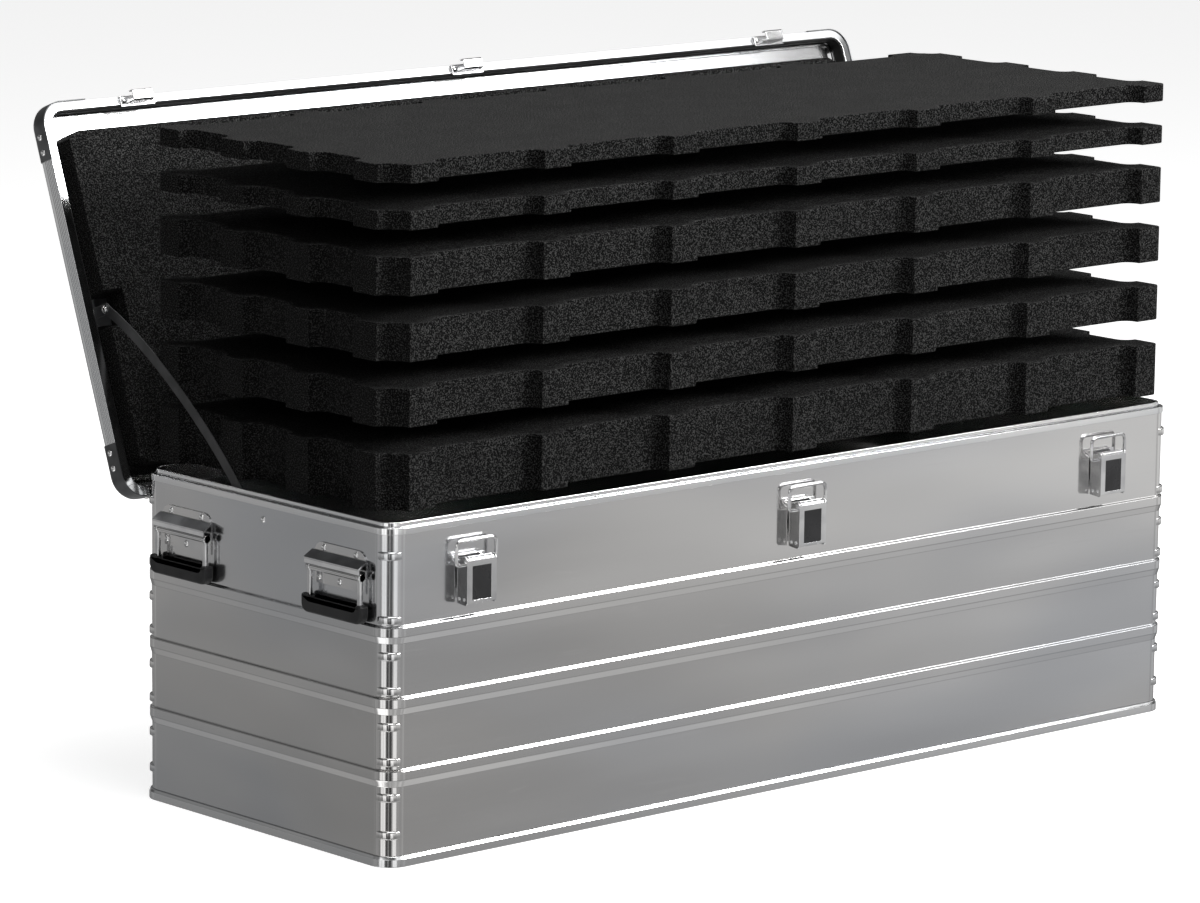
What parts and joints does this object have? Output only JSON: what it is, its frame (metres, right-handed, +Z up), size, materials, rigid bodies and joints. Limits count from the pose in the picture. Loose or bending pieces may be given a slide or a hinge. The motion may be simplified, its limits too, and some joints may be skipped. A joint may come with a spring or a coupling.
{
  "type": "aluminium transport case",
  "caption": "Long aluminium transport case with a hinged lid on side stays, draw latches with wire bails, drop handles on both ends and lift-out layers of cut foam raised above the open body.",
  "frame": {"origin": "centre of the case's base, on the floor", "axes": "+X along the case, -Y toward the latches, +Z up"},
  "size_m": [1.2208, 0.6104, 0.753],
  "materials": {
    "wall_aluminium": "satin",
    "frame_aluminium": "satin",
    "steel_fittings": "satin",
    "steel_wire": "gloss",
    "rivet_aluminium": "satin",
    "dark_metal": "satin",
    "black_plastic": "matte",
    "seal_rubber": "matte",
    "strap": "satin",
    "foam": "matte"
  },
  "bodies": {
    "case": {"body_shell": "wall_aluminium", "floor_panel": "wall_aluminium", "base_frame": "frame_aluminium", "rim_frame": "frame_aluminium", "rim_rivets": "rivet_aluminium", "hinge_body_leaves": "steel_fittings", "hinge_pins": "steel_wire", "hinge_body_rivets": "rivet_aluminium", "latch_base_left": "steel_fittings", "latch_base_centre": "steel_fittings", "latch_base_right": "steel_fittings", "latch_pins": "steel_wire", "latch_rivets": "rivet_aluminium", "handle_plate_left_front": "steel_fittings", "handle_plate_left_rear": "steel_fittings", "handle_plate_right_front": "steel_fittings", "handle_plate_right_rear": "steel_fittings", "handle_hoods": "steel_fittings", "handle_rods": "steel_wire", "handle_rivets": "rivet_aluminium", "stay_anchors": "steel_fittings"},
    "lid": {"hinge_lid_leaves": "steel_fittings", "hinge_lid_rivets": "rivet_aluminium", "lid_panel": "wall_aluminium", "lid_frame": "frame_aluminium", "lid_seal": "seal_rubber", "lid_corner_brackets": "dark_metal", "lid_corner_rivets": "rivet_aluminium", "lid_keeper_left": "steel_fittings", "lid_keeper_centre": "steel_fittings", "lid_keeper_right": "steel_fittings", "keeper_rivets": "rivet_aluminium", "lid_foam": "foam", "stay_brackets": "dark_metal", "lid_stay_left": "strap", "lid_stay_right": "strap"},
    "lever_left": {"latch_lever_left": "steel_fittings", "latch_label_left": "black_plastic"},
    "bail_left": {"latch_bail_left": "steel_wire"},
    "lever_centre": {"latch_lever_centre": "steel_fittings", "latch_label_centre": "black_plastic"},
    "bail_centre": {"latch_bail_centre": "steel_wire"},
    "lever_right": {"latch_lever_right": "steel_fittings", "latch_label_right": "black_plastic"},
    "bail_right": {"latch_bail_right": "steel_wire"},
    "handle_left_front": {"handle_loop_left_front": "steel_fittings", "handle_grip_left_front": "black_plastic"},
    "handle_left_rear": {"handle_loop_left_rear": "steel_fittings", "handle_grip_left_rear": "black_plastic"},
    "handle_right_front": {"handle_loop_right_front": "steel_fittings", "handle_grip_right_front": "black_plastic"},
    "handle_right_rear": {"handle_loop_right_rear": "steel_fittings", "handle_grip_right_rear": "black_plastic"},
    "foam_1": {"foam_layer_1": "foam"},
    "foam_2": {"foam_layer_2": "foam"},
    "foam_3": {"foam_layer_3": "foam"},
    "foam_4": {"foam_layer_4": "foam"},
    "foam_5": {"foam_layer_5": "foam"},
    "foam_6": {"foam_layer_6": "foam"}
  },
  "joints": [
    {"name": "lid_hinge", "type": "hinge", "parent": "case", "child": "lid", "pos_m": [0, 0.2093, 0.3443], "axis": [-1, 0, 0], "range_deg": [-22, 0]},
    {"name": "lever_left_pivot", "type": "hinge", "parent": "case", "child": "lever_left", "pos_m": [-0.478, -0.2196, 0.3185], "axis": [-1, 0, 0], "range_deg": [0, 130]},
    {"name": "bail_left_pivot", "type": "hinge", "parent": "lever_left", "child": "bail_left", "pos_m": [-0.478, -0.2145, 0.3125], "axis": [-1, 0, 0], "range_deg": [-130, 0]},
    {"name": "lever_centre_pivot", "type": "hinge", "parent": "case", "child": "lever_centre", "pos_m": [0, -0.2196, 0.3185], "axis": [-1, 0, 0], "range_deg": [0, 130]},
    {"name": "bail_centre_pivot", "type": "hinge", "parent": "lever_centre", "child": "bail_centre", "pos_m": [0, -0.2145, 0.3125], "axis": [-1, 0, 0], "range_deg": [-130, 0]},
    {"name": "lever_right_pivot", "type": "hinge", "parent": "case", "child": "lever_right", "pos_m": [0.478, -0.2196, 0.3185], "axis": [-1, 0, 0], "range_deg": [0, 130]},
    {"name": "bail_right_pivot", "type": "hinge", "parent": "lever_right", "child": "bail_right", "pos_m": [0.478, -0.2145, 0.3125], "axis": [-1, 0, 0], "range_deg": [-130, 0]},
    {"name": "handle_left_front_swing", "type": "hinge", "parent": "case", "child": "handle_left_front", "pos_m": [-0.598, -0.129, 0.305], "axis": [0, 1, 0], "range_deg": [0, 90]},
    {"name": "handle_left_rear_swing", "type": "hinge", "parent": "case", "child": "handle_left_rear", "pos_m": [-0.598, 0.129, 0.305], "axis": [0, 1, 0], "range_deg": [0, 90]},
    {"name": "handle_right_front_swing", "type": "hinge", "parent": "case", "child": "handle_right_front", "pos_m": [0.598, -0.129, 0.305], "axis": [0, -1, 0], "range_deg": [0, 90]},
    {"name": "handle_right_rear_swing", "type": "hinge", "parent": "case", "child": "handle_right_rear", "pos_m": [0.598, 0.129, 0.305], "axis": [0, -1, 0], "range_deg": [0, 90]},
    {"name": "foam_6_slide", "type": "slide", "parent": "case", "child": "foam_6", "axis": [0, 0, 1], "range_m": [-0.3692, 0]},
    {"name": "foam_5_slide", "type": "slide", "parent": "foam_6", "child": "foam_5", "axis": [0, 0, 1], "range_m": [-0.0281, 0]},
    {"name": "foam_4_slide", "type": "slide", "parent": "foam_5", "child": "foam_4", "axis": [0, 0, 1], "range_m": [-0.0281, 0]},
    {"name": "foam_3_slide", "type": "slide", "parent": "foam_4", "child": "foam_3", "axis": [0, 0, 1], "range_m": [-0.0281, 0]},
    {"name": "foam_2_slide", "type": "slide", "parent": "foam_3", "child": "foam_2", "axis": [0, 0, 1], "range_m": [-0.0281, 0]},
    {"name": "foam_1_slide", "type": "slide", "parent": "foam_2", "child": "foam_1", "axis": [0, 0, 1], "range_m": [-0.0281, 0]}
  ],
  "couplings": [
    {"joint": "bail_left_pivot", "follows": "lever_left_pivot", "ratio": -1},
    {"joint": "bail_centre_pivot", "follows": "lever_centre_pivot", "ratio": -1},
    {"joint": "bail_right_pivot", "follows": "lever_right_pivot", "ratio": -1}
  ]
}
